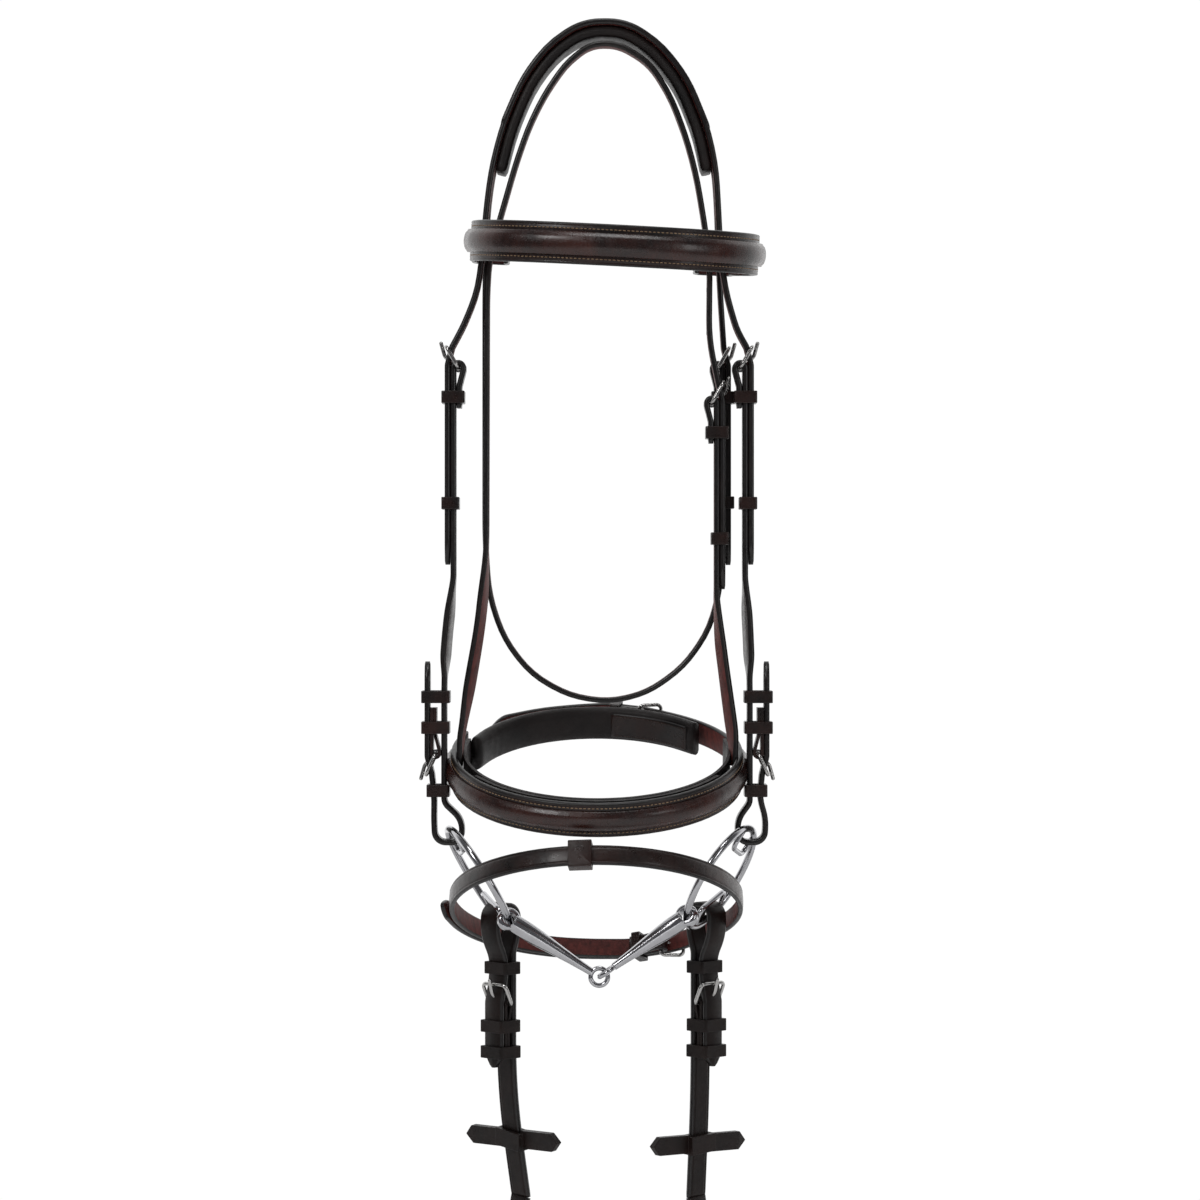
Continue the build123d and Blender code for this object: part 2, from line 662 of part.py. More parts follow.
# ---- keepers, browband, noseband, flash ------------------------------------
BROW_X = 6.0
BROW_Z = -131.0
BROW_DROP = 2.9
BROW_DIP = 4.0
BROW_PAD_W = 14.0
BROW_PAD_T = 3.0


def brow_plane():
    level = Plane(origin=(BROW_X, 0, BROW_Z), x_dir=(1, 0, 0), z_dir=(0, 0, 1))
    return level.rotated((BROW_DIP, BROW_DROP, 0))


BROW_FRONT = [
    (-89.5, -30), (-91, -55), (-85, -80), (-68, -101), (-42, -114), (-14, -119.5),
    (14, -119.5), (42, -114), (68, -101), (86, -80), (92, -55), (90, -30),
]
BROW_LEFT_LOOP = [(-69.5, -27), (-69.5, 23.5, 5.0), (-91, 23.5, 5.0)]
BROW_RIGHT_LOOP = [(78, 23.5, 5.0), (54.5, 23.5, 5.0), (54.5, -27)]


def browband():
    points = BROW_LEFT_LOOP + [(-91, -4)] + BROW_FRONT + [(79, -6)] + BROW_RIGHT_LOOP
    return strap(brow_plane(), points, BROW_W, BROW_T)


def browband_pad():
    lifted = parallel(BROW_FRONT[1:-1], -(BROW_T / 2 + BROW_PAD_T / 2))
    return strap(brow_plane(), lifted, BROW_PAD_W, BROW_PAD_T)


def oval(a, b, start, end, step=15.0):
    """Points round an oval; 0 is the +X side and 90 the back."""
    count = max(2, round(abs(end - start) / step))
    angles = [start + (end - start) * k / count for k in range(count + 1)]
    return [(a * cos(radians(t)), b * sin(radians(t))) for t in angles]


def tilted_plane(x, y, z, tilt):
    """A level plane tipped forward by an angle: local y is the back."""
    return Plane(origin=(x, y, z), x_dir=(1, 0, 0), z_dir=(0, -sin(radians(tilt)), cos(radians(tilt))))


NOSE = tilted_plane(NOSE_X, NOSE_Y, NOSE_Z, NOSE_TILT)
NOSE_BUCKLE_AT = 72.0
NOSE_PAD_T = 7.0


def hanger_pocket(side):
    """Room in the side of the noseband for the end of a hanger."""
    x = NOSE_HANGER_X[side]
    ends = [(x, HANGER_END_Z - 0.5), (x, -452), (x - side * 5, -415)]
    return strap(CHEEK, ends, HANGER_W + 1.0, STRAP_T + 2 * LAYER_GAP)


def nose_band(depth, thickness, start=165.0, end=375.0):
    middle = depth + thickness / 2
    band = strap(NOSE, oval(NOSE_A - middle, NOSE_B - middle, start, end), NOSE_W, thickness)
    for side in (LEFT, RIGHT):
        band -= hanger_pocket(side)
    return band


def nose_buckle():
    turn = radians(NOSE_BUCKLE_AT)
    depth = STRAP_T / 2 + LAYER_GAP
    spot = ((NOSE_A - depth) * cos(turn), (NOSE_B - depth) * sin(turn))
    along = Vector(-sin(turn), cos(turn) * 0.93).normalized()
    return Buckle(NOSE, spot, (along.X, along.Y), (along.Y, -along.X), NOSE_STRAP_W, CHAPE_T)


FLASH_X = -5.5
FLASH_Y = -12.0
FLASH_Z = -557.4
FLASH_TILT = -23.7
FLASH_A = 94.5
FLASH_B = 93.0
FLASH_T = 3.2
FLASH = tilted_plane(FLASH_X, FLASH_Y, FLASH_Z, FLASH_TILT)
FLASH_BUCKLE_AT = 62.0


def flash_buckle():
    turn = radians(FLASH_BUCKLE_AT)
    spot = (FLASH_A * cos(turn), FLASH_B * sin(turn))
    along = Vector(-sin(turn), cos(turn) * 0.92).normalized()
    return Buckle(FLASH, spot, (along.X, along.Y), (along.Y, -along.X), FLASH_W, STRAP_T)


def nose_rear_strap():
    """The billet of the noseband: from the band's right end through its buckle."""
    buckle = nose_buckle()
    middle = STRAP_T / 2
    lead = oval(NOSE_A - middle, NOSE_B - middle, 15.8, 52.0, 12.0)
    tail = [buckle.at(24.0, buckle.billet, 20.0)] + oval(
        NOSE_A + 1.2, NOSE_B + 1.2, NOSE_BUCKLE_AT + 27.0, 128.0, 12.0
    )
    return strap(NOSE, lead + buckle.billet_points() + tail, NOSE_STRAP_W) - buckle.tongue_way()


def chin_pad():
    """The padded rear of the noseband, from its left side to past the buckle."""
    depth = NOSE_LEATHER_T + STRAP_T + 1.2
    middle = depth + NOSE_PAD_T / 2
    return strap(NOSE, oval(NOSE_A - middle, NOSE_B - middle, 163.8, 38.0), NOSE_W, NOSE_PAD_T)


def flash_strap():
    """One strap: fold, back left, front, back right, through the buckle, tail."""
    buckle = flash_buckle()
    around = oval(FLASH_A, FLASH_B, FLASH_BUCKLE_AT + 29.0, FLASH_BUCKLE_AT + 334.0, 13.0)
    tail = [buckle.at(25.0, buckle.billet, 20.0)] + oval(
        FLASH_A + STRAP_T + 0.5, FLASH_B + STRAP_T + 0.5, FLASH_BUCKLE_AT + 31.0, 172.0, 13.0
    )
    points = buckle.fold_points(22.0) + [buckle.at(25.0, 0, 20.0)] + around + buckle.billet_points() + tail
    return strap(FLASH, points, FLASH_W, FLASH_T) - buckle.tongue_way()


FLASH_LOOP_AT = 264.0


def flash_loop():
    """The leather loop below the noseband's front that carries the flash strap."""
    turn = radians(FLASH_LOOP_AT)
    ride = FLASH.from_local_coords(Vector(FLASH_A * cos(turn), FLASH_B * sin(turn), 0))
    along = FLASH.x_dir * -sin(turn) + FLASH.y_dir * cos(turn)
    place = Plane(origin=ride, x_dir=along, z_dir=FLASH.z_dir)
    hole_w = FLASH_T + 3.0
    hole_h = FLASH_W + 1.2
    block = Box(15.0, hole_w + 2 * KEEPER_WALL, hole_h + 2 * KEEPER_WALL)
    outer = fillet(block.edges().filter_by(Axis.X), 1.4)
    return place * (outer - Box(30.0, hole_w, hole_h))


# ---- the nodes -------------------------------------------------------------
def build():
    save("headpiece", headpiece())
    save("crown_pad", crown_pad())
    save("sliphead", sliphead())
    save("hanger_lower_right", hanger_lower())
    save("browband", browband())
    save("browband_pad", browband_pad())
    save("noseband", nose_band(0.0, NOSE_LEATHER_T))
    core_t = NOSE_CORE_T - 2 * NOSE_CORE_GAP
    save("noseband_core", nose_band(NOSE_LEATHER_T + NOSE_CORE_GAP, core_t, 210.0, 330.0))
    save("noseband_lining", nose_band(NOSE_LEATHER_T + NOSE_CORE_T, NOSE_LINING_T))
    save("noseband_rear_strap", nose_rear_strap())
    save("chin_pad", chin_pad())
    save("flash_loop", flash_loop())
    save("flash_strap", flash_strap())
    buckles = {
        "noseband": nose_buckle(),
        "flash": flash_buckle(),
        "hanger": hanger_buckle,
        "throatlash": throat_buckle,
    }
    for side, name in ((LEFT, "left"), (RIGHT, "right")):
        save(f"cheekpiece_{name}", cheekpiece(side))
        save(f"bit_ring_{name}", rings[side].solid())
        save(f"mouth_arm_{name}", mouth_arm(side))
        save(f"rein_end_{name}", rein_end(side))
        save(f"rein_hand_{name}", rein_hand(side))
        save(f"rein_stop_{name}", rein_stop(side))
        buckles[f"cheek_{name}"] = cheek_buckle[side]
        buckles[f"bit_{name}"] = bit_buckle[side]
        buckles[f"rein_{name}"] = rein_buckle(side)
    buckles["rein_centre"] = centre_buckle()
    for pair in ("cheek", "bit", "rein"):
        save(f"buckles_{pair}", [buckles[f"{pair}_left"].frame(), buckles[f"{pair}_right"].frame()])
    for name in ("noseband", "flash", "hanger", "throatlash", "rein_centre"):
        save(f"buckle_{name}", buckles[name].frame())
    save("chapes_headstall", [nose_buckle().chape(20.0)] + [bit_buckle[s].chape(30.0) for s in (LEFT, RIGHT)])
    save("chapes_reins", [rein_buckle(s).chape(30.0) for s in (LEFT, RIGHT)])
    for name, buckle in buckles.items():
        save(f"tongue_{name}", buckle.tongue())
        pivot = buckle.axis_spot()
        axis = buckle.plane.z_dir
        print(f"  pivot {name}: {[round(v, 4) for v in pivot]} axis {[round(v, 4) for v in axis]}")
    save("rein_coil", rein_coil())
    save("coil_ties", coil_ties())
    save("rein_centre_ends", centre_ends())
    save_keepers(buckles)


def save_keepers(buckles):
    """Sewn keepers join one node; each runner that slides is its own."""
    low = STRAP_T / 2
    sewn = []
    for name in ("cheek_left", "cheek_right", "hanger", "throatlash"):
        b = buckles[name]
        sewn.append(b.loop(19.0, b.under - low, b.billet + low))
        save(f"runner_{name}", b.loop(88.0, -low, b.billet + low, gap=RUNNER_GAP))
    for side, name in ((LEFT, "left"), (RIGHT, "right")):
        b = buckles[f"bit_{name}"]
        main = -CHAPE_OFF - low
        sewn.append(b.loop(17.0, main, b.billet + low))
        sewn.append(b.loop(-24.0, main, b.billet - BILLET_DIP - 0.35 * LOOP_NARROW + low))
        save(f"runner_bit_{name}", b.loop(37.0, main, b.billet + low, gap=RUNNER_GAP))
    b = buckles["noseband"]
    sewn.append(b.loop(17.0, b.under - CHAPE_T / 2, b.billet + low, length=6.0))
    save("keepers_headstall", sewn)
    rein_loops = []
    for side, name in ((LEFT, "left"), (RIGHT, "right")):
        b = buckles[f"rein_{name}"]
        main = -CHAPE_OFF - low
        rein_loops.append(b.loop(14.0, main, b.billet + low))
        rein_loops.append(b.loop(-24.0, main, b.billet - BILLET_DIP - 0.35 * LOOP_NARROW + low))
        save(f"runner_rein_{name}", b.loop(31.0, main, b.billet + low, gap=RUNNER_GAP))
    save("keepers_reins", rein_loops)
    b = buckles["flash"]
    save("keeper_flash", b.loop(17.0, b.under - FLASH_T / 2, b.billet + FLASH_T / 2, length=6.0))


os.makedirs("parts", exist_ok=True)
for old in os.listdir("parts"):
    os.remove(os.path.join("parts", old))
build()
for ring_side in (LEFT, RIGHT):
    ring = rings[ring_side]
    for label, spot in (("centre", ring.centre), ("mouth", ring.mouth), ("rein", ring.rein)):
        print(f"  ring {ring_side:+d} {label}: {[round(v, 3) for v in spot]}")
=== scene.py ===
import random
from math import atan2, ceil, cos, degrees, pi, radians, sin, tan

import bpy
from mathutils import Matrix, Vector


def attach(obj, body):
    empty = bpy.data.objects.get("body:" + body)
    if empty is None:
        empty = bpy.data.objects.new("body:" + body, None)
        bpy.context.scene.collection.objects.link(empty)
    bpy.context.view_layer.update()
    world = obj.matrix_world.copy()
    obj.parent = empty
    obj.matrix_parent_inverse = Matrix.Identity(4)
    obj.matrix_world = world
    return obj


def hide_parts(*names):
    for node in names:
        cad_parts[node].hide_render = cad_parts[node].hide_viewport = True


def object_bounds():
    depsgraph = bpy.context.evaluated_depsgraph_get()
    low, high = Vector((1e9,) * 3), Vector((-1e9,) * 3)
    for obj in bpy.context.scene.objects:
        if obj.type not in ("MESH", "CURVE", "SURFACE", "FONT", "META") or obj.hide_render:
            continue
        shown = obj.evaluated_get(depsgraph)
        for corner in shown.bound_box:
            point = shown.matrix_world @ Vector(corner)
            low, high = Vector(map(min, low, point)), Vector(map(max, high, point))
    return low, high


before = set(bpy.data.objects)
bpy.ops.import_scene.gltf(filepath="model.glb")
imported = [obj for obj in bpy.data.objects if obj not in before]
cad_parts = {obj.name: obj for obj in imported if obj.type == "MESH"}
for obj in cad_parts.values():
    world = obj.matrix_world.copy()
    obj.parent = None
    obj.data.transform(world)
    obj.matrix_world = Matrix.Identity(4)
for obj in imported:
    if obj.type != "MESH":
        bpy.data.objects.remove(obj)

random.seed(7)
MM = 0.001
LOW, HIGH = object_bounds()


# ---- materials -------------------------------------------------------------
def new_material(name):
    """An empty material, its node tree and its Principled shader."""
    material = bpy.data.materials.new(name)
    material.use_nodes = True
    tree = material.node_tree
    return material, tree, tree.nodes["Principled BSDF"]


def noise(tree, scale, detail=4.0, rough=0.55, stretch=(1, 1, 1)):
    """Noise over the object's own coordinates."""
    where = tree.nodes.new("ShaderNodeTexCoord")
    mapping = tree.nodes.new("ShaderNodeMapping")
    mapping.inputs["Scale"].default_value = stretch
    tree.links.new(where.outputs["Object"], mapping.inputs["Vector"])
    texture = tree.nodes.new("ShaderNodeTexNoise")
    texture.inputs["Scale"].default_value = scale
    texture.inputs["Detail"].default_value = detail
    texture.inputs["Roughness"].default_value = rough
    tree.links.new(mapping.outputs["Vector"], texture.inputs["Vector"])
    return texture


def ramp(tree, source, stops):
    """A colour ramp over a value."""
    node = tree.nodes.new("ShaderNodeValToRGB")
    node.color_ramp.elements[0].position = stops[0][0]
    node.color_ramp.elements[0].color = (*stops[0][1], 1)
    node.color_ramp.elements[1].position = stops[-1][0]
    node.color_ramp.elements[1].color = (*stops[-1][1], 1)
    for position, colour in stops[1:-1]:
        node.color_ramp.elements.new(position).color = (*colour, 1)
    tree.links.new(source, node.inputs["Fac"])
    return node


def grey(low, high, start=0.3, end=0.7):
    return [(start, (low, low, low)), (end, (high, high, high))]


def leather(name, dark, light, rough, coat, grain=0.25, gloss=0.5):
    """Grain leather: mottled dye, fine creased pores and a waxed surface."""
    material, tree, shader = new_material(name)
    dye = noise(tree, 38.0, 6.0, 0.62)
    middle = [0.5 * (a + b) for a, b in zip(dark, light)]
    colour = ramp(tree, dye.outputs["Fac"], [(0.34, dark), (0.52, middle), (0.70, light)])
    tree.links.new(colour.outputs["Color"], shader.inputs["Base Color"])
    wear = noise(tree, 150.0, 5.0, 0.6)
    shine = ramp(tree, wear.outputs["Fac"], grey(rough - 0.07, rough + 0.12))
    tree.links.new(shine.outputs["Color"], shader.inputs["Roughness"])
    pores = tree.nodes.new("ShaderNodeTexVoronoi")
    pores.feature = "DISTANCE_TO_EDGE"
    pores.inputs["Scale"].default_value = 1500.0
    where = tree.nodes.new("ShaderNodeTexCoord")
    tree.links.new(where.outputs["Object"], pores.inputs["Vector"])
    cells = ramp(tree, pores.outputs["Distance"], [(0.0, (0, 0, 0)), (0.12, (1, 1, 1))])
    wrinkle = noise(tree, 420.0, 4.0, 0.6)
    first = tree.nodes.new("ShaderNodeBump")
    first.inputs["Strength"].default_value = grain
    first.inputs["Distance"].default_value = 0.00012
    tree.links.new(cells.outputs["Color"], first.inputs["Height"])
    second = tree.nodes.new("ShaderNodeBump")
    second.inputs["Strength"].default_value = 0.35
    second.inputs["Distance"].default_value = 0.00025
    tree.links.new(wrinkle.outputs["Fac"], second.inputs["Height"])
    tree.links.new(first.outputs["Normal"], second.inputs["Normal"])
    tree.links.new(second.outputs["Normal"], shader.inputs["Normal"])
    shader.inputs["Specular IOR Level"].default_value = gloss
    shader.inputs["Coat Weight"].default_value = coat
    shader.inputs["Coat Roughness"].default_value = 0.22
    return material


def flesh_leather(name, dark, light):
    """The unfinished back of a strap: short fibres, no shine."""
    material, tree, shader = new_material(name)
    fibre = noise(tree, 300.0, 8.0, 0.7, (1.0, 1.0, 0.35))
    colour = ramp(tree, fibre.outputs["Fac"], [(0.3, dark), (0.7, light)])
    tree.links.new(colour.outputs["Color"], shader.inputs["Base Color"])
    fuzz = noise(tree, 1400.0, 5.0, 0.7)
    bump = tree.nodes.new("ShaderNodeBump")
    bump.inputs["Strength"].default_value = 0.5
    bump.inputs["Distance"].default_value = 0.00025
    tree.links.new(fuzz.outputs["Fac"], bump.inputs["Height"])
    tree.links.new(bump.outputs["Normal"], shader.inputs["Normal"])
    shader.inputs["Roughness"].default_value = 0.62
    return material


def steel(name, tint, rough):
    """Polished steel with faint haze and hairline wear."""
    material, tree, shader = new_material(name)
    shader.inputs["Metallic"].default_value = 1.0
    haze = noise(tree, 120.0, 5.0, 0.6)
    colour = ramp(tree, haze.outputs["Fac"], [(0.3, [0.86 * c for c in tint]), (0.7, tint)])
    tree.links.new(colour.outputs["Color"], shader.inputs["Base Color"])
    shine = ramp(tree, haze.outputs["Fac"], grey(rough - 0.04, rough + 0.07))
    tree.links.new(shine.outputs["Color"], shader.inputs["Roughness"])
    wear = noise(tree, 900.0, 3.0, 0.5, (1.0, 1.0, 0.15))
    bump = tree.nodes.new("ShaderNodeBump")
    bump.inputs["Strength"].default_value = 0.06
    bump.inputs["Distance"].default_value = 0.00008
    tree.links.new(wear.outputs["Fac"], bump.inputs["Height"])
    tree.links.new(bump.outputs["Normal"], shader.inputs["Normal"])
    return material


def thread(name, dark, light):
    """Waxed linen thread."""
    material, tree, shader = new_material(name)
    twist = noise(tree, 2200.0, 3.0, 0.5)
    colour = ramp(tree, twist.outputs["Fac"], [(0.3, dark), (0.7, light)])
    tree.links.new(colour.outputs["Color"], shader.inputs["Base Color"])
    shader.inputs["Roughness"].default_value = 0.6
    return material


GRAIN = leather("strap_grain", (0.006, 0.004, 0.0036), (0.034, 0.0115, 0.008), 0.30, 0.20, gloss=0.4)
# The raised bands' leather is a lighter, redder copy of the strap leather: painted highlight on the raised
# browband and noseband bands.
RAISED_PAINTED_HIGHLIGHT = leather("raised_grain_painted_highlight", (0.012, 0.0045, 0.0036), (0.062, 0.016, 0.010), 0.24, 0.35)
REIN = leather("rein_grain", (0.006, 0.0042, 0.0038), (0.020, 0.010, 0.008), 0.40, 0.0, gloss=0.28)
SOFT = leather("lining_grain", (0.007, 0.0055, 0.0055), (0.018, 0.012, 0.011), 0.46, 0.02, 0.4, 0.35)
EDGE = leather("edge_dye", (0.004, 0.003, 0.003), (0.011, 0.007, 0.006), 0.34, 0.2, 0.1)
FLESH = flesh_leather("flesh_side", (0.055, 0.011, 0.009), (0.20, 0.040, 0.032))
BIT_STEEL = steel("bit_steel", (0.60, 0.60, 0.62), 0.15)
BUCKLE_STEEL = steel("buckle_steel", (0.60, 0.59, 0.575), 0.19)
TAN = thread("tan_thread", (0.20, 0.115, 0.06), (0.52, 0.36, 0.22))
BROWN = thread("brown_thread", (0.02, 0.011, 0.008), (0.07, 0.038, 0.027))
# Near-black painted shade for the insides of the punched holes, which are discs on the strap face, not cut.
HOLE_PAINTED_SHADE = leather("punched_hole_painted_shade", (0.0015, 0.0012, 0.001), (0.004, 0.003, 0.003), 0.7, 0.0)


# ---- routes ----------------------------------------------------------------
class Sheet:
    """A plane in which a strap bends: origin and two directions, in mm."""

    def __init__(self, origin, x, y):
        self.o = Vector(origin)
        self.x = Vector(x).normalized()
        self.y = Vector(y).normalized()
        self.z = self.x.cross(self.y)

    def point(self, p, q, w=0.0):
        return (self.o + self.x * p + self.y * q + self.z * w) * MM


def front(y):
    return Sheet((0, y, 0), (1, 0, 0), (0, 0, 1))


def rounded(points, step=3.0):
    """Straight runs and tangent arcs through a list of corners, sampled."""
    spots = [Vector(p[:2]) for p in points]
    given = [p[2] if len(p) > 2 else 0 for p in points]
    keep = [0]
    for i in range(1, len(spots) - 1):
        if (spots[i] - spots[keep[-1]]).angle(spots[i + 1] - spots[i], 0) > radians(0.2):
            keep.append(i)
    keep.append(len(spots) - 1)
    spots = [spots[i] for i in keep]
    given = [given[i] for i in keep]
    out = [spots[0]]
    for i in range(1, len(spots) - 1):
        into = spots[i] - spots[i - 1]
        away = spots[i + 1] - spots[i]
        half = into.angle(away) / 2
        radius = given[i] or 0.45 * min(into.length, away.length) / tan(half)
        back = radius * tan(half)
        a = spots[i] - into.normalized() * back
        turn = 1 if into.x * away.y - into.y * away.x > 0 else -1
        normal = Vector((-into.y, into.x)).normalized() * turn
        centre = a + normal * radius
        count = max(3, int(degrees(2 * half) / 5), int(2 * half * radius / 6))
        for k in range(count + 1):
            angle = turn * 2 * half * k / count
            arm = -normal * radius
            c, s = cos(angle), sin(angle)
            out.append(centre + Vector((arm.x * c - arm.y * s, arm.x * s + arm.y * c)))
    out.append(spots[-1])
    fine = [out[0]]
    for spot in out[1:]:
        run = (spot - fine[-1]).length
        if run < 1e-4:
            continue
        start = fine[-1]
        for k in range(1, ceil(run / step) + 1):
            fine.append(start.lerp(spot, k / ceil(run / step)))
    return fine


def section(half_w, half_t, crown=0.0, crease=True, soft=1.0):
    """Rounded strap section: (across, up, kind); kind 0 grain, 1 edge, 2 back."""
    r = min(half_t * 0.8, soft)
    side = [(half_w, 0.0, 1), (half_w - 0.30 * r, half_t - 0.38 * r, 1), (half_w - r, half_t, 0)]
    if crease:
        side += [(half_w - r - 0.5, half_t, 0), (half_w - r - 0.85, half_t - 0.28, 0),
                 (half_w - r - 1.2, half_t, 0)]
    inner = side[-1][0]
    top = []
    for k in range(1, 10):
        across = inner * (1 - k / 5)
        top.append((across, half_t + crown * (1 - (across / inner) ** 2) ** 0.6, 0))
    mirror = [(-a, u, k) for a, u, k in reversed(side)]
    below = [(-half_w + 0.30 * r, -half_t + 0.38 * r, 1), (-half_w + r, -half_t, 2), (0, -half_t, 2),
             (half_w - r, -half_t, 2), (half_w - 0.30 * r, -half_t + 0.38 * r, 1)]
    return side + top + mirror + below


def tip_share(distance, length):
    """How wide a pointed end is at a distance from its tip."""
    t = min(1.0, max(0.0, distance / length))
    return 0.16 + 0.84 * sin(t * pi / 2) ** 0.9


def mesh_object(name, verts, faces, kinds, materials):
    """A smooth-shaded mesh in the scene; kinds holds each face's material slot."""
    data = bpy.data.meshes.new(name)
    data.from_pydata(verts, [], faces)
    for material in materials:
        data.materials.append(material)
    data.polygons.foreach_set("material_index", kinds)
    data.polygons.foreach_set("use_smooth", [True] * len(faces))
    data.update()
    obj = bpy.data.objects.new(name, data)
    bpy.context.scene.collection.objects.link(obj)
    return obj


def skin(name, rows, shape, materials):
    """Faces between rows of section points, closed at both ends."""
    count = len(shape)
    verts = [v for row in rows for v in row]
    faces = []
    kinds = []
    for i in range(len(rows) - 1):
        for k in range(count):
            j = (k + 1) % count
            faces.append((i * count + k, i * count + j, (i + 1) * count + j, (i + 1) * count + k))
            kinds.append(1 if shape[k][2] == 1 or shape[j][2] == 1 else shape[k][2])
    faces.append(tuple(reversed(range(count))))
    faces.append(tuple(range((len(rows) - 1) * count, len(rows) * count)))
    kinds += [1, 1]
    return mesh_object(name, verts, faces, kinds, materials)


def twist_at(run, twist):
    """The strap's turn about its own line, in radians, eased between marks."""
    for (a, first), (b, second) in zip(twist, twist[1:]):
        if a <= run <= b:
            t = (run - a) / (b - a)
            return radians(first + (second - first) * t * t * (3 - 2 * t))
    return 0.0


def strap(name, sheet, points, width, thick, face=1, tips=(0, 0), crown=0.0, crease=True, look=None,
          soft=1.0, twist=()):
    """A leather strap along a route. face 1 puts the grain to the route's left."""
    path = rounded(points)
    if tips[0]:
        heading = (path[0] - path[1]).normalized()
        path = [path[0] + heading * (tips[0] * k / 6) for k in range(6, 0, -1)] + path
    if tips[1]:
        heading = (path[-1] - path[-2]).normalized()
        path = path + [path[-1] + heading * (tips[1] * k / 6) for k in range(1, 7)]
    run = [0.0]
    for a, b in zip(path, path[1:]):
        run.append(run[-1] + (b - a).length)
    shape = section(width / 2, thick / 2, crown, crease, soft)
    if face < 0:
        shape = [(-a, u, k) for a, u, k in shape]
    rows = []
    for i, spot in enumerate(path):
        before = path[max(0, i - 1)]
        after = path[min(len(path) - 1, i + 1)]
        into = (spot - before).normalized() if i else (after - spot).normalized()
        away = (after - spot).normalized() if i < len(path) - 1 else into
        ahead = (into + away).normalized()
        normal = Vector((-ahead.y, ahead.x)) * face
        stretch = 1 / max(0.7, ahead.dot(into))
        share = 1.0
        if tips[0]:
            share = min(share, tip_share(run[i], tips[0]))
        if tips[1]:
            share = min(share, tip_share(run[-1] - run[i], tips[1]))
        end = 1.0
        gap = min(run[i], run[-1] - run[i])
        if gap < 0.01:
            end = 0.82
        turn = twist_at(run[i], twist)
        c, s = cos(turn), sin(turn)
        row = []
        for a, u, k in shape:
            a *= share
            u *= stretch * end
            a, u = a * c - u * s, u * c + a * s
            row.append(sheet.point(spot.x + normal.x * u, spot.y + normal.y * u, a))
        rows.append(row)
    obj = skin(name, rows, shape, look or (GRAIN, EDGE, FLESH))
    return obj, path


# A stitch's four rings: place along its length, share of the radius, dip.
THREAD_RINGS = ((-0.5, 0.35, -0.25), (-0.3, 0.95, 0.0), (0.3, 0.95, 0.0), (0.5, 0.35, -0.25))


def stitch_row(name, lines, material, pitch=3.0, length=2.1, radius=0.34, sink=0.10):
    """Threads along lines given as [(point, outward normal), ...] in metres."""
    verts = []
    faces = []
    for line in lines:
        travel = 0.0
        due = pitch / 2
        for (p, n), (q, m) in zip(line, line[1:]):
            leg = (q - p).length / MM
            while due <= travel + leg and leg > 0:
                t = (due - travel) / leg
                centre = p.lerp(q, t)
                up = n.lerp(m, t).normalized()
                ahead = (q - p).normalized()
                side = ahead.cross(up)
                base = len(verts)
                wobble = random.uniform(-0.05, 0.05)
                for s, grow, dip in THREAD_RINGS:
                    mid = (centre + ahead * (s * length * MM) + up * ((dip * radius - sink) * MM)
                           + side * (wobble * s * MM * 4))
                    for k in range(6):
                        a = k * pi / 3
                        verts.append(mid + (side * cos(a) + up * sin(a)) * (radius * grow * MM))
                for ring in range(3):
                    for k in range(6):
                        j = (k + 1) % 6
                        low = base + ring * 6
                        faces.append((low + k, low + j, low + 6 + j, low + 6 + k))
                faces.append(tuple(base + k for k in reversed(range(6))))
                faces.append(tuple(base + 18 + k for k in range(6)))
                due += pitch
            travel += leg
    return mesh_object(name, verts, faces, [0] * len(faces), [material])


def beside(sheet, path, across, up, face=1, start=0.0, end=0.0):
    """A line on a strap's face, for stitches: offset across and up."""
    line = []
    run = 0.0
    total = sum((b - a).length for a, b in zip(path, path[1:]))
    for i, spot in enumerate(path):
        before = path[max(0, i - 1)]
        after = path[min(len(path) - 1, i + 1)]
        if i:
            run += (spot - before).length
        if run < start or run > total - end:
            continue
        ahead = (after - before).normalized()
        normal = Vector((-ahead.y, ahead.x)) * face
        at = sheet.point(spot.x + normal.x * up, spot.y + normal.y * up, across)
        line.append((at, sheet.x * normal.x + sheet.y * normal.y))
    return line


def punch(name, sheet, spots, radius=2.0):
    """Punched holes: a near-black disc of painted shade standing in for the hole, with a pressed rim at each
    (point, normal).
    """
    verts = []
    faces = []
    for (p, q), n in spots:
        centre = sheet.point(p, q)
        up = (sheet.x * n[0] + sheet.y * n[1]).normalized()
        side = sheet.z
        ahead = up.cross(side)
        base = len(verts)
        for grow, lift in ((1.0, -0.05), (0.9, 0.06), (0.0, 0.04)):
            for k in range(16):
                a = k * pi / 8
                spoke = side * cos(a) + ahead * sin(a)
                verts.append(centre + spoke * (radius * grow * MM) + up * (lift * MM))
        for ring in range(2):
            for k in range(16):
                j = (k + 1) % 16
                low = base + ring * 16
                faces.append((low + k, low + j, low + 16 + j, low + 16 + k))
    return mesh_object(name, verts, faces, [0] * len(faces), [HOLE_PAINTED_SHADE])


# ---- sizes in mm and buckle layers, repeated from the CAD source ---------------
STRAP_T = 3.6
CHAPE_T = 2.0
LAYER_GAP = 0.2
CHEEK_W = 16.0
HANGER_W = 13.0
THROAT_W = 13.0
FLASH_W = 13.0
FLASH_T = 3.2
REIN_W = 16.0
REIN_T = 3.8
BAR_R = 1.25
BAR_GAP = 0.2
REACH = 13.5
DIP = 2.9
BEND = 1.8
CHAPE_OFF = 2 * (BAR_R + BAR_GAP + CHAPE_T / 2) + CHAPE_T / 2 + LAYER_GAP + STRAP_T / 2
LEFT = -1
RIGHT = 1
CHEEK = front(-10.0)
THROAT = front(13.5)
CROWN = front(1.0)


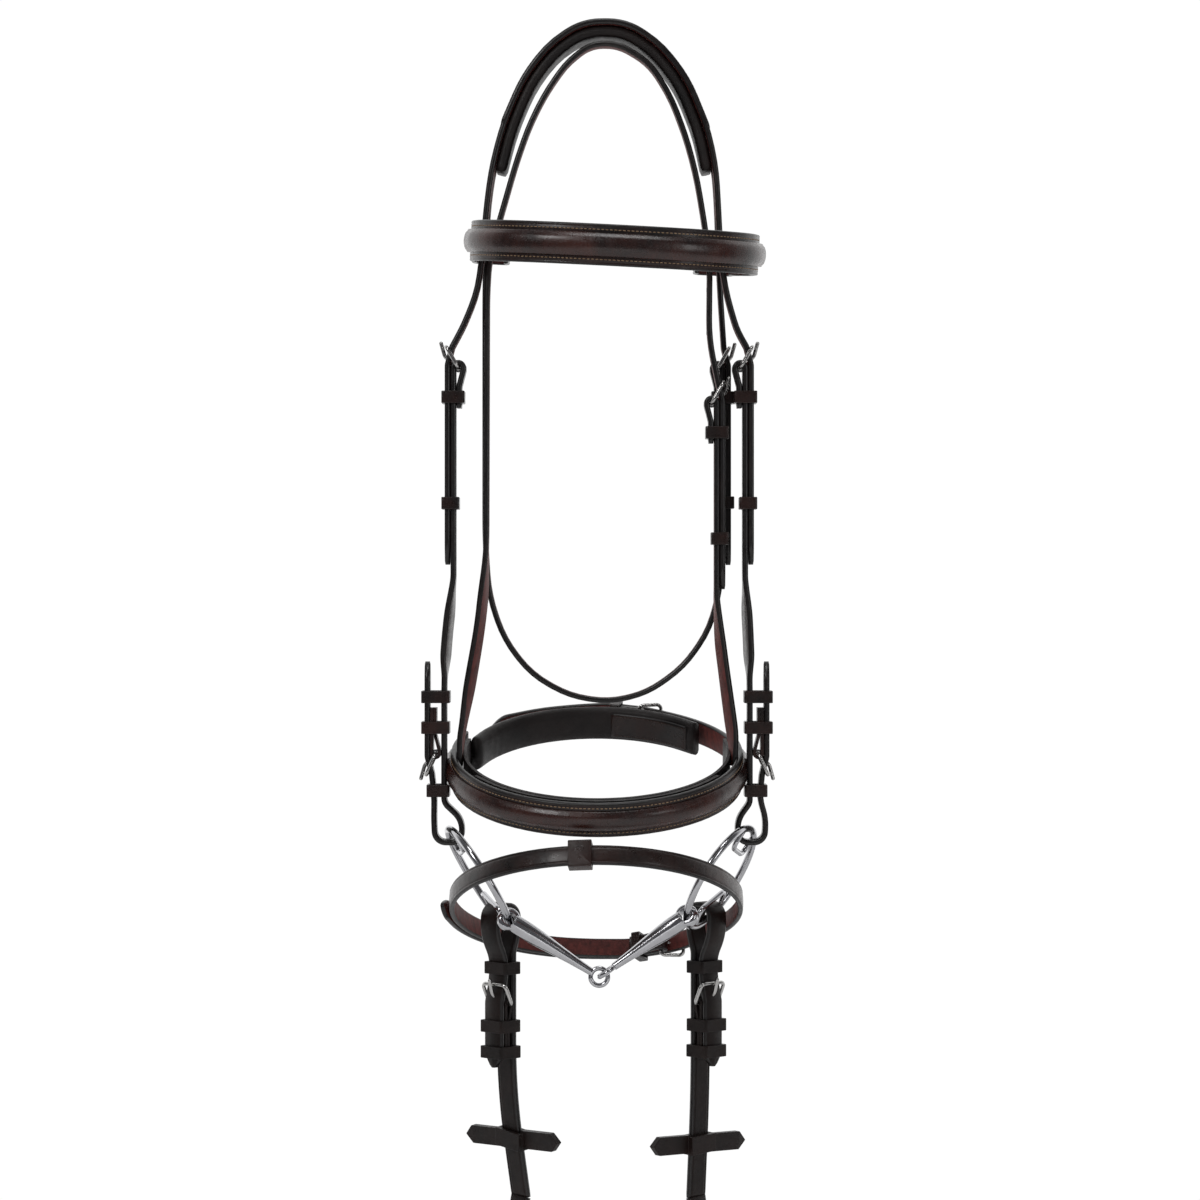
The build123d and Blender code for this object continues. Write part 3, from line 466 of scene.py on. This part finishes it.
class Buckle:
    """Layers at a buckle: s runs from its hinge bar, n points to the face."""

    def __init__(self, origin, along, face, thick=STRAP_T):
        self.o = origin
        self.a = along
        self.f = face
        self.fold = BAR_R + BAR_GAP + thick / 2
        self.under = -(thick + LAYER_GAP)
        self.billet = thick / 2 + LAYER_GAP + STRAP_T / 2

    def at(self, s, n, *radius):
        """A route corner in the buckle's sheet, with its bend radius if given."""
        across = self.o[0] + s * self.a[0] + n * self.f[0]
        upward = self.o[1] + s * self.a[1] + n * self.f[1]
        return (across, upward, *radius)

    def folded(self, tail):
        """The strap end that folds round the bar, its tail ending at tail."""
        deep = -2 * self.fold
        return [self.at(tail, self.under), self.at(12, self.under, 6), self.at(1.5, deep, 4),
                self.at(-self.fold, deep, 0.97 * self.fold), self.at(-self.fold, 0, 0.97 * self.fold)]

    def passed(self):
        """The billet's way through the frame and over the bar."""
        return [self.at(-REACH, self.billet - DIP, 8.0), self.at(-BEND, self.billet, 8.0)]


UP = (0.0, 1.0)
DOWN = (0.0, -1.0)
CHEEK_X = {LEFT: -98.4, RIGHT: 91.5}
BIT_X = {LEFT: -104.4, RIGHT: 94.5}
cheek_buckle = {s: Buckle((CHEEK_X[s], -209.0), DOWN, (float(s), 0.0)) for s in (LEFT, RIGHT)}
bit_buckle = {s: Buckle((BIT_X[s] + s * CHAPE_OFF, -460.0), UP, (float(s), 0.0), CHAPE_T)
              for s in (LEFT, RIGHT)}
hanger_buckle = Buckle((73.0, -232.0), DOWN, (1.0, 0.0))
throat_buckle = Buckle((77.5, -208.0), DOWN, (1.0, 0.0))
ARCH = [(-76.9, -104), (-73.5, -79), (-66, -50), (-53, -20), (-36, 2), (-14, 16.2),
        (14, 16.2), (36, 2), (54, -21), (67, -53), (72.5, -79), (74, -104)]
SLIP_ARCH = [(-76.5, -160), (-74.8, -135), (-67.8, -111), (-57.5, -75), (-49, -51), (-38.5, -30),
             (-24.5, -10), (-9, 1.8), (9, 1.8), (29, -10), (43, -32), (53.5, -60), (60, -85), (65, -115),
             (68.5, -140)]


# ---- headpiece, sliphead and hangers -----------------------------------------
def on(body, *objects):
    """The objects move with a body of the frame."""
    for obj in objects:
        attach(obj, body)


def hole_row(buckle, base, count, pitch):
    """Holes down a billet's straight stretch, on its outer face."""
    n = buckle.billet + STRAP_T / 2
    return [(buckle.at(base + k * pitch, n), buckle.f) for k in range(count)]


tails = {s: cheek_buckle[s].at(113, cheek_buckle[s].billet) for s in (LEFT, RIGHT)}
cheek_points = ([tails[LEFT]] + cheek_buckle[LEFT].passed()[::-1]
                + [(-92, -182), (-83, -160), (-79.5, -135)] + ARCH + [(75.5, -135), (79, -160), (86, -184)]
                + cheek_buckle[RIGHT].passed() + [tails[RIGHT]])
cheeks, _ = strap("head_cheek_straps", CHEEK, cheek_points, CHEEK_W, STRAP_T, 1, (15, 15))
throat_tail = throat_buckle.at(114, throat_buckle.billet)
short_points = ARCH[2:] + [(75.5, -150)] + throat_buckle.passed() + [throat_tail]
short, _ = strap("throatlash_billet", THROAT, short_points, THROAT_W, STRAP_T, 1, (0, 15))
long_points = (throat_buckle.folded(24) + [
    (77.5, -330), (75, -358), (68, -381), (52, -404), (28, -421), (3, -427), (-23, -423),
    (-48, -409), (-66, -386), (-76, -357), (-78.5, -322), (-78.5, -150)] + ARCH[:-2])
long_strap, _ = strap("throatlash", THROAT, long_points, THROAT_W, STRAP_T, 1)
crown, crown_path = strap("headpiece_crown", CROWN, ARCH[2:-2], 38.0, STRAP_T + 0.3, 1, crown=0.5)
crown_stitch = stitch_row("crown_stitches", [
    beside(CROWN, crown_path, w, 1.95, 1, 4, 4) for w in (-16.4, 16.4)], BROWN)
head_holes = punch("cheek_holes", CHEEK, [
    h for s in (LEFT, RIGHT) for h in hole_row(cheek_buckle[s], 67, 3, 22)])
on("headstall", cheeks, short, long_strap, crown, crown_stitch, head_holes)
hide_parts("headpiece")


def parallel(points, distance):
    """The same corners moved sideways, to the left of their direction."""
    moved = []
    for i, p in enumerate(points):
        spot = Vector(p[:2])
        into = (spot - Vector(points[max(0, i - 1)][:2])) if i else None
        away = (Vector(points[i + 1][:2]) - spot) if i < len(points) - 1 else None
        into = (into or away).normalized()
        away = (away or into).normalized()
        normal = Vector((-into.y - away.y, into.x + away.x)).normalized()
        stretch = distance / (normal.x * -into.y + normal.y * into.x)
        moved.append((spot.x + normal.x * stretch, spot.y + normal.y * stretch))
    return moved


PAD_T = 7.0
PAD_GAP = 0.6
pad, _ = strap("crown_padding", CROWN, parallel(ARCH[1:-1], -(STRAP_T / 2 + PAD_GAP + PAD_T / 2)), 34.0,
               PAD_T, -1, crown=0.6, crease=False, look=(SOFT, SOFT, SOFT), soft=3.2)
on("headstall", pad)
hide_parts("crown_pad")

slip_tail = hanger_buckle.at(106, hanger_buckle.billet)
slip_points = ([(-94.0, -468.0), (-94.0, -452), (-88.5, -419), (-80.5, -373), (-77, -330)]
               + SLIP_ARCH + [(68, -190)] + hanger_buckle.passed() + [slip_tail])
slip, _ = strap("sliphead_strap", CHEEK, slip_points, HANGER_W, STRAP_T, 1, (0, 15),
                twist=((0, 0), (22, 8), (55, 24), (105, 20), (145, 0)))
SLIP_HOLE_X = 68.2
slip_holes = punch("sliphead_holes", CHEEK, [
    ((SLIP_HOLE_X + face * STRAP_T / 2, -186 + 14 * k), (face, 0))
    for face in (1, -1) for k in range(3)], 1.6)
on("headstall", slip, slip_holes)
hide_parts("sliphead")
lower, _ = strap("hanger_right", CHEEK, hanger_buckle.folded(26) + [
    (73.0, -358, 60), (75, -385), (79.5, -419), (84.0, -452), (84.0, -468.0)], HANGER_W, STRAP_T, 1,
    twist=((155, 0), (200, 22), (245, 26), (272, 8), (290, 0)))
on("headstall", lower)
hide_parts("hanger_lower_right")

# ---- cheekpieces -------------------------------------------------------------
RING_X = {LEFT: -101.7, RIGHT: 95.5}
RING_PIVOT_Z = -509.5
LOOP_LOW = RING_PIVOT_Z - 8.2
for side, word in ((LEFT, "left"), (RIGHT, "right")):
    top = cheek_buckle[side]
    bit = bit_buckle[side]
    x = RING_X[side]
    main = BIT_X[side]
    points = top.folded(26) + [
        (CHEEK_X[side], -345, 60), (main, -400), (main, -492, 8), (x - side * 9.0, -503),
        (x - side * 8.6, LOOP_LOW), (x + side * 8.6, LOOP_LOW), (x + side * 9.4, -502),
        bit.at(-29.0, bit.billet - DIP - 1.6)] + bit.passed() + [bit.at(48, bit.billet)]
    piece, _ = strap(f"cheek_strap_{word}", CHEEK, points, CHEEK_W, STRAP_T, side, (0, 12),
                     look=(GRAIN, EDGE, GRAIN), twist=((172, 0), (200, 14), (222, 14), (240, 0)))
    on("headstall", piece)
    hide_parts(f"cheekpiece_{word}")
    seams = stitch_row(f"cheek_seams_{word}", [
        [(CHEEK.point(CHEEK_X[side] + side * 1.82, -214 - k, w), Vector((side, 0, 0))) for k in (13.5, 20)]
        for w in (-6.2, 6.2)], BROWN, 2.6)
    on("headstall", seams)

# ---- browband ------------------------------------------------------------------
BROW_RISE = radians(4.0)
BROW_LEAN = radians(2.9)
brow_x = Vector((cos(BROW_LEAN), sin(BROW_RISE) * sin(BROW_LEAN), -cos(BROW_RISE) * sin(BROW_LEAN)))
brow_y = Vector((0, cos(BROW_RISE), sin(BROW_RISE)))
BROW = Sheet((6.0, 0, -131.0), brow_x, brow_y)
BROW_FRONT = [(-89.5, -30), (-91, -55), (-85, -80), (-68, -101), (-42, -114), (-14, -119.5),
              (14, -119.5), (42, -114), (68, -101), (86, -80), (92, -55), (90, -30)]
brow_points = ([(-69.5, -27), (-69.5, 23.5, 5), (-91, 23.5, 5), (-91, -4)] + BROW_FRONT
               + [(79, -6), (78, 23.5, 5), (54.5, 23.5, 5), (54.5, -27)])
brow, _ = strap("browband_strap", BROW, brow_points, 26.0, 3.2, -1)
front_path = rounded(BROW_FRONT[1:-1])
# The raised band's lighter, redder leather is painted highlight.
raised, _ = strap("browband_raised", BROW, parallel(BROW_FRONT[1:-1], -2.2), 15.0, 2.4, -1,
                  crown=2.6, crease=False, look=(RAISED_PAINTED_HIGHLIGHT, RAISED_PAINTED_HIGHLIGHT, EDGE), soft=1.0)
brow_seams = stitch_row("browband_stitches", [
    beside(BROW, front_path, w, 1.66, -1, 3, 3) for w in (-9.3, 9.3)], TAN, 2.7, 1.9, 0.33, 0.06)
on("browband", brow, raised, brow_seams)
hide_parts("browband")
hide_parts("browband_pad")

# ---- noseband --------------------------------------------------------------------
NOSE_TILT = radians(20.0)
NOSE = Sheet((-5.0, -3.0, -469.0), (1, 0, 0), (0, cos(NOSE_TILT), sin(NOSE_TILT)))
FLASH_TILT = radians(-23.7)
FLASH = Sheet((-5.5, -12.0, -557.4), (1, 0, 0), (0, cos(FLASH_TILT), sin(FLASH_TILT)))


def oval(a, b, start, end, step=15.0):
    """Corners along an ellipse, from one angle in degrees to another."""
    count = max(2, round(abs(end - start) / step))
    angles = [start + (end - start) * k / count for k in range(count + 1)]
    return [(a * cos(radians(t)), b * sin(radians(t))) for t in angles]


NOSE_A = 96.0
NOSE_B = 90.0
nose, nose_path = strap("noseband_leather", NOSE, oval(NOSE_A - 2, NOSE_B - 2, 157, 375), 23.0, 4.0, -1,
                        look=(GRAIN, EDGE, EDGE))
# The raised band's lighter, redder leather is painted highlight.
bulge, _ = strap("noseband_raised", NOSE, oval(NOSE_A + 0.6, NOSE_B + 0.6, 171, 369), 13.4, 2.4, -1,
                 crown=2.4, crease=False, look=(RAISED_PAINTED_HIGHLIGHT, RAISED_PAINTED_HIGHLIGHT, EDGE), soft=1.0)
nose_seams = stitch_row("noseband_stitches", [
    beside(NOSE, nose_path, w, 2.06, -1, 8, 8) for w in (-8.4, 8.4)], TAN, 2.7, 1.9, 0.33, 0.06)
chin, _ = strap("chin_padding", NOSE, oval(NOSE_A - 12.3, NOSE_B - 12.3, 163.8, 38), 23.0, 7.0, -1, crown=1.2,
                crease=False, look=(SOFT, SOFT, SOFT), soft=3.0)
patch_points = oval(NOSE_A - 17.0, NOSE_B - 17.0, 83, 41)
patch, patch_path = strap("chin_patch", NOSE, patch_points, 17.0, 2.0, -1, look=(GRAIN, EDGE, EDGE),
                          crease=False)
patch_seams = stitch_row("chin_patch_stitches", [
    beside(NOSE, patch_path, w, 1.06, -1, 2, 2) for w in (-6.8, 6.8)], BROWN, 2.7)
turn = radians(72)
spot = ((NOSE_A - 2.0) * cos(turn), (NOSE_B - 2.0) * sin(turn))
along = Vector((-sin(turn), cos(turn) * 0.93)).normalized()
nose_buckle = Buckle(spot, (along.x, along.y), (along.y, -along.x), CHAPE_T)
rear_points = (oval(NOSE_A - 1.8, NOSE_B - 1.8, 15.8, 52, 12) + nose_buckle.passed()
               + [nose_buckle.at(24, nose_buckle.billet, 20)] + oval(NOSE_A + 1.2, NOSE_B + 1.2, 99, 128, 12))
rear, _ = strap("noseband_rear", NOSE, rear_points, 16.0, STRAP_T, -1, (0, 12))
on("headstall", nose, bulge, nose_seams, chin, patch, patch_seams, rear)
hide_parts("noseband")
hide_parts("chin_pad")
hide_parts("noseband_rear_strap")

# ---- flash -------------------------------------------------------------------------
turn = radians(62)
FLASH_A = 94.5
FLASH_B = 93.0
spot = (FLASH_A * cos(turn), FLASH_B * sin(turn))
along = Vector((-sin(turn), cos(turn) * 0.92)).normalized()
flash_buckle = Buckle(spot, (along.x, along.y), (along.y, -along.x))
flash_points = (
    flash_buckle.folded(22) + [flash_buckle.at(25, 0, 20)] + oval(FLASH_A, FLASH_B, 91, 396, 13)
    + flash_buckle.passed() + [flash_buckle.at(25, flash_buckle.billet, 20)]
    + oval(FLASH_A + STRAP_T + 0.5, FLASH_B + STRAP_T + 0.5, 93, 172, 13))
flash, _ = strap("flash_leather", FLASH, flash_points, FLASH_W, FLASH_T, -1, (0, 10), crown=0.25)
on("flash", flash)
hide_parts("flash_strap")

# ---- reins ---------------------------------------------------------------------------
c45 = cos(radians(45))
REIN_AT = {LEFT: (-68.08, 5.7, -570.2), RIGHT: (66.7, 9.08, -569.76)}
REIN_BUCKLE_X = 2.6
REIN_FOOT_Z = -753.0
DRIFT = {LEFT: 13.0, RIGHT: 4.0}
MAIN = REIN_BUCKLE_X - CHAPE_OFF


class ReinSheet(Sheet):
    """The upright plane of a rein end, turned outwards by 45 degrees."""

    def __init__(self, side):
        x, y, _ = REIN_AT[side]
        super().__init__((x, y, 0), (side * c45, -c45, 0), (0, 0, 1))


COIL = Vector((1.0, 8.5, -980.0))
REIN_ROUTE = {
    LEFT: [(-63, -799), (-72, -846), (-80, -897), (-85, -946)],
    RIGHT: [(66, -799), (74, -846), (82, -897), (87, -946)],
}
COIL_TURN = 22.5


def coil_radius(t):
    """A rein's distance from the coil's middle, t degrees into the coil."""
    if t < 40:
        return 92.0 - 5.0 * t / 40
    if t < 640:
        return 87.0 - 14.0 * (t - 40) / 600
    return 73.0 - 15.0 * min(1.0, (t - 640) / 150)


def rein_controls(side):
    """Control points of a rein, from its sewn end into the put-away coil."""
    sheet = ReinSheet(side)
    foot = sheet.point(MAIN - DRIFT[side], REIN_FOOT_Z)
    points = [foot]
    level = 8.5 - side * 8.5
    for k, (x, z) in enumerate(REIN_ROUTE[side]):
        share = (k + 1) / 4
        points.append(Vector((x * MM, foot.y + share * (level * MM - foot.y), z * MM)))
    first = atan2(34.0, 86.0)
    t = COIL_TURN
    while t <= 790:
        angle = first - radians(t)
        radius = coil_radius(t)
        shift = min(1.0, max(0.0, (t - 700) / 90))
        points.append(Vector((
            (COIL.x + side * radius * cos(angle)) * MM,
            (level + (COIL.y - level) * shift) * MM,
            (COIL.z + radius * sin(angle)) * MM,
        )))
        t += COIL_TURN
    return points


def follow(name, points):
    """Points read from a NURBS spline through the control points."""
    data = bpy.data.curves.new(name, "CURVE")
    data.dimensions = "3D"
    spline = data.splines.new("NURBS")
    spline.points.add(len(points) - 1)
    for p, q in zip(spline.points, points):
        p.co = (*q, 1)
    spline.order_u = 3
    spline.use_endpoint_u = True
    spline.resolution_u = 8
    obj = bpy.data.objects.new(name, data)
    bpy.context.scene.collection.objects.link(obj)
    mesh = bpy.data.meshes.new_from_object(obj)
    found = [v.co.copy() for v in mesh.vertices]
    bpy.data.objects.remove(obj)
    bpy.data.meshes.remove(mesh)
    bpy.data.curves.remove(data)
    return found


for side, word in ((LEFT, "left"), (RIGHT, "right")):
    sheet = ReinSheet(side)
    z = REIN_AT[side][2]
    buckle = Buckle((REIN_BUCKLE_X, z - 55.0), DOWN, (1.0, 0.0), CHAPE_T)
    points = [
        (MAIN - DRIFT[side] * 1.015, REIN_FOOT_Z), (MAIN, -682), (MAIN, z - 21, 8), (-9.4, z - 9),
        (-9.4, z + 10), (9.4, z + 10), (9.4, z - 10), buckle.at(-29.0, buckle.billet - DIP - 1.6)]
    points += buckle.passed() + [buckle.at(29, buckle.billet)]
    end, _ = strap(f"rein_end_strap_{word}", sheet, points, REIN_W, STRAP_T, -1, (0, 12),
                   look=(REIN, EDGE, REIN))
    on("reins", end)
    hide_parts(f"rein_end_{word}")
    line = follow(f"rein_line_{word}", rein_controls(side))
    shape = section(REIN_W / 2, REIN_T / 2)
    start_width = Vector((c45, side * c45, 0)) * side
    rows = []
    run = 0.0
    for i, spot in enumerate(line):
        before = line[max(0, i - 1)]
        after = line[min(len(line) - 1, i + 1)]
        run += (spot - before).length
        ahead = (after - before).normalized()
        share = min(1.0, run / 0.16)
        share = share * share * (3 - 2 * share)
        across = start_width.lerp(Vector((0, 1, 0)), share)
        across = (across - ahead * across.dot(ahead)).normalized()
        up = across.cross(ahead)
        rows.append([spot + (across * a + up * u) * MM for a, u, k in shape])
    hand = skin(f"rein_{word}", rows, shape, (REIN, EDGE, REIN))
    on("reins", hand)
    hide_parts(f"rein_hand_{word}", *(["rein_coil"] if side == LEFT else []))

# ---- CAD nodes that stay, with their own finish ----------------------------------
STAYS = {
    BIT_STEEL: ("bit_ring_left", "bit_ring_right", "mouth_arm_left", "mouth_arm_right"),
    SOFT: ("noseband_core", "noseband_lining"),
    REIN: ("rein_stop_left", "rein_stop_right", "chapes_reins", "keepers_reins", "coil_ties",
           "rein_centre_ends", "runner_rein_left", "runner_rein_right"),
}
LEATHER_NODES = ("runner", "keeper", "chapes", "flash_loop", "rein_stop", "coil_ties", "rein_centre")
for material, nodes in STAYS.items():
    for node in nodes:
        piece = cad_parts[node]
        piece.data.materials.clear()
        piece.data.materials.append(material)
for node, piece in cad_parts.items():
    if node.startswith(("buckle", "tongue")):
        piece.data.materials.clear()
        piece.data.materials.append(BUCKLE_STEEL)
    elif node.startswith(LEATHER_NODES):
        if node not in STAYS[REIN]:
            piece.data.materials.clear()
            piece.data.materials.append(GRAIN)
        weld = piece.modifiers.new("weld", "WELD")
        weld.merge_threshold = 0.00001
        bevel = piece.modifiers.new("worn edge", "BEVEL")
        bevel.width = 0.00045
        bevel.segments = 2
        bevel.limit_method = "ANGLE"
        bevel.angle_limit = radians(35)

# ---- stage, light and camera --------------------------------------------------------
FLOOR = LOW.z - 0.03
FLOOR_R = 1.9
ring = [Vector((FLOOR_R * cos(radians(5 * k)), FLOOR_R * sin(radians(5 * k)), FLOOR)) for k in range(72)]
paper, paper_tree, paper_shader = new_material("floor_paper")
paper_tint = ramp(paper_tree, noise(paper_tree, 3.0).outputs["Fac"], grey(0.86, 0.90))
paper_tree.links.new(paper_tint.outputs["Color"], paper_shader.inputs["Base Color"])
paper_shader.inputs["Roughness"].default_value = 0.9
floor = mesh_object("floor", ring, [tuple(range(72))], [0], [paper])


def area(name, where, at, size, power):
    """A white rectangular lamp that faces a point."""
    light = bpy.data.lights.new(name, "AREA")
    light.shape = "RECTANGLE"
    light.size, light.size_y = size
    light.energy = power
    obj = bpy.data.objects.new(name, light)
    bpy.context.scene.collection.objects.link(obj)
    obj.location = where
    obj.rotation_euler = (Vector(at) - Vector(where)).to_track_quat("-Z", "Y").to_euler()


area("key", (-1.5, -2.3, 1.3), (0, 0, -0.35), (0.8, 0.8), 21)
area("fill", (1.9, -2.0, 0.1), (0, 0, -0.4), (0.5, 1.2), 6.5)
area("top", (0.1, -0.9, 1.9), (0, 0, -0.3), (1.2, 0.4), 11)
area("low", (0.0, -2.0, -1.0), (0, 0, -0.5), (1.4, 0.2), 1.2)
world = bpy.data.worlds.new("studio")
world.use_nodes = True
sky = world.node_tree
where = sky.nodes.new("ShaderNodeTexCoord")
split = sky.nodes.new("ShaderNodeSeparateXYZ")
sky.links.new(where.outputs["Generated"], split.inputs["Vector"])
SKY_STOPS = [(0.0, (0.10, 0.10, 0.105)), (0.16, (0.30, 0.30, 0.31)), (0.36, (1.0, 1.0, 1.0))]
glow = ramp(sky, split.outputs["Y"], SKY_STOPS)
sky.links.new(glow.outputs["Color"], sky.nodes["Background"].inputs["Color"])
sky.nodes["Background"].inputs["Strength"].default_value = 1.02
scene = bpy.context.scene
scene.world = world
scene.view_settings.view_transform = "Standard"
camera = bpy.data.cameras.new("camera")
camera.lens = 110
camera.sensor_width = 36
eye = bpy.data.objects.new("camera", camera)
scene.collection.objects.link(eye)
eye.location = (-0.003, -2.4, -0.36)
eye.rotation_euler = (radians(90), 0, 0)
scene.camera = eye
